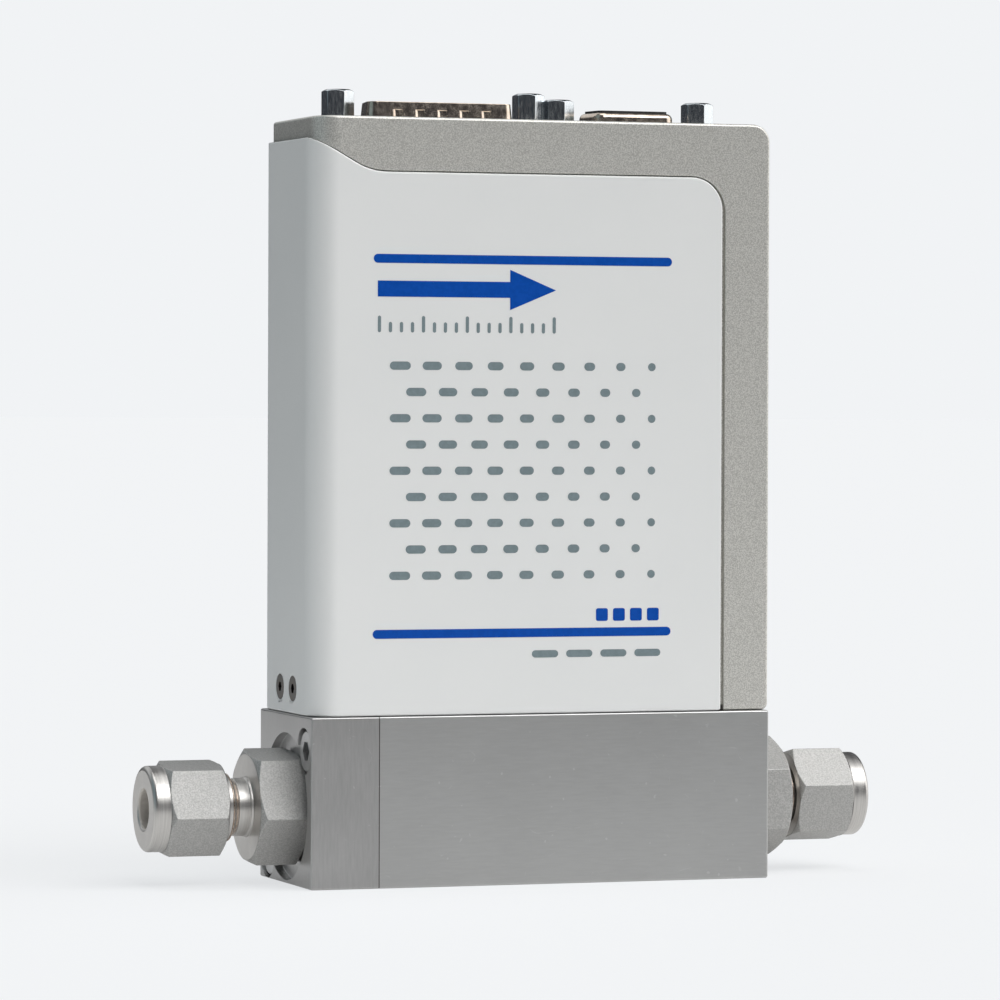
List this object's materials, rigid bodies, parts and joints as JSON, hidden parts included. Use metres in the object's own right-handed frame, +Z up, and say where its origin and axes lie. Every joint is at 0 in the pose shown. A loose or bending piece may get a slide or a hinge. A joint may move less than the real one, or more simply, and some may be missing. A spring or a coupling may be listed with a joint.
{
  "type": "mass flow controller",
  "caption": "Thermal mass flow controller: stainless flow block with quarter-inch compression fittings, white sheet cover in a cast grey frame, D-sub connectors on top.",
  "frame": {"origin": "centre of the flow block's base, midway between the block's two end faces", "axes": "+X along the gas flow from inlet to outlet, +Y from the printed front to the back, +Z up from the base to the connectors"},
  "size_m": [0.1257, 0.0286, 0.1306],
  "materials": {
    "block_steel": "milled stainless steel, fine lengthwise grain, satin",
    "fitting_steel": "stainless bar, turned bright with matt rolled flats",
    "turned_steel": "fine turned stainless steel",
    "screw_steel": "plain stainless fasteners",
    "dark_screw": "blackened steel, satin",
    "zinc_plate": "bright zinc plate",
    "tinned_shell": "bright tin plate over steel",
    "gold_contact": "gold-flashed copper alloy",
    "copper_wire": "enamelled copper wire",
    "milled_aluminium": "milled, satin",
    "cover_paint": "white powder coat, fine orange peel, satin",
    "frame_paint": "grey metallic paint on a casting, fine speckle, satin",
    "black_plastic": "moulded black plastic",
    "chip_black": "moulded chip packages",
    "circuit_board": "green solder mask on glass fibre laminate",
    "seal_rubber": "black fluorocarbon seal rubber"
  },
  "bodies": {
    "controller": {"block_seal": "seal_rubber", "board_components": "chip_black", "board_header": "black_plastic", "board_screws": "screw_steel", "bracket_screws": "screw_steel", "bypass_element": "turned_steel", "case_frame": "frame_paint", "connector_board": "circuit_board", "control_board": "circuit_board", "cover": "cover_paint", "cover_bracket": "zinc_plate", "cover_screws": "dark_screw", "frame_screws": "screw_steel", "inlet_back_ferrule": "fitting_steel", "inlet_block": "block_steel", "inlet_block_screws": "screw_steel", "inlet_fitting_body": "fitting_steel", "inlet_front_ferrule": "fitting_steel", "inlet_port_seal": "seal_rubber", "inlet_tube_nut": "fitting_steel", "main_block": "block_steel", "outlet_back_ferrule": "fitting_steel", "outlet_fitting_body": "fitting_steel", "outlet_front_ferrule": "fitting_steel", "outlet_port_seal": "seal_rubber", "outlet_tube_nut": "fitting_steel", "plug_15_insulator": "black_plastic", "plug_15_pins": "gold_contact", "plug_15_rear_shell": "tinned_shell", "plug_15_shell": "tinned_shell", "plug_jack_posts": "zinc_plate", "sensor_base": "turned_steel", "sensor_can": "milled_aluminium", "sensor_screws": "screw_steel", "sensor_seals": "seal_rubber", "sensor_tube": "turned_steel", "sensor_windings": "copper_wire", "socket_9_contacts": "gold_contact", "socket_9_insulator": "black_plastic", "socket_9_rear_shell": "tinned_shell", "socket_9_shell": "tinned_shell", "socket_jack_posts": "zinc_plate", "valve_bobbin": "black_plastic", "valve_nut": "screw_steel", "valve_orifice": "turned_steel", "valve_screws": "screw_steel", "valve_seal": "seal_rubber", "valve_spring": "screw_steel", "valve_stem": "turned_steel", "valve_winding": "copper_wire", "valve_yoke": "zinc_plate"},
    "plunger": {"valve_plunger": "turned_steel"}
  },
  "joints": [
    {"name": "plunger_lift", "type": "slide", "parent": "controller", "child": "plunger", "axis": [0, 0, 1], "range_m": [0, 0.0003], "stiffness_N_per_m": 500, "springref_m": -0.0015, "deforming": ["valve_spring"]}
  ]
}
